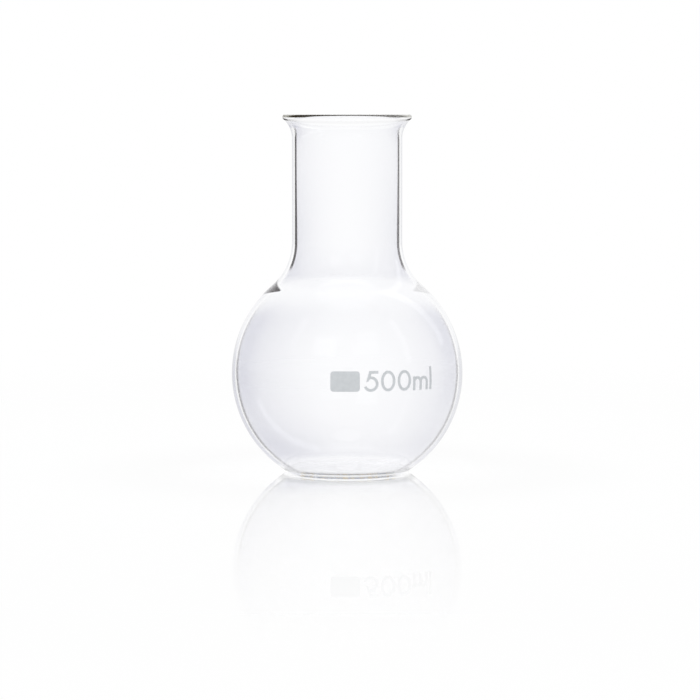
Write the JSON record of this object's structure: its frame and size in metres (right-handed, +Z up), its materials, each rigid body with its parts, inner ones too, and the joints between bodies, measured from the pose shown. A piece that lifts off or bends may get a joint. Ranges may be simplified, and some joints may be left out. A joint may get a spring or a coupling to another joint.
{
  "type": "flat-bottomed boiling flask",
  "caption": "Clear glass boiling flask with a round bulb on a flat foot, a wide straight neck, a flared round lip, a pale write-on spot and capacity figures.",
  "frame": {"origin": "middle of the foot, on the plane that the flask stands on", "axes": "+Z up along the neck; the print faces -Y, and reads from -X to +X"},
  "size_m": [0.105, 0.1051, 0.1625],
  "materials": {
    "clear_glass": "clear and fire-polished",
    "fired_enamel": "matt pale grey-white enamel, fired on"
  },
  "bodies": {
    "root": {"flask_body": "clear_glass", "marking_spot": "fired_enamel", "capacity_digit_five": "fired_enamel", "capacity_digit_zero_left": "fired_enamel", "capacity_digit_zero_right": "fired_enamel", "capacity_letter_m": "fired_enamel", "capacity_letter_l": "fired_enamel"}
  },
  "joints": []
}
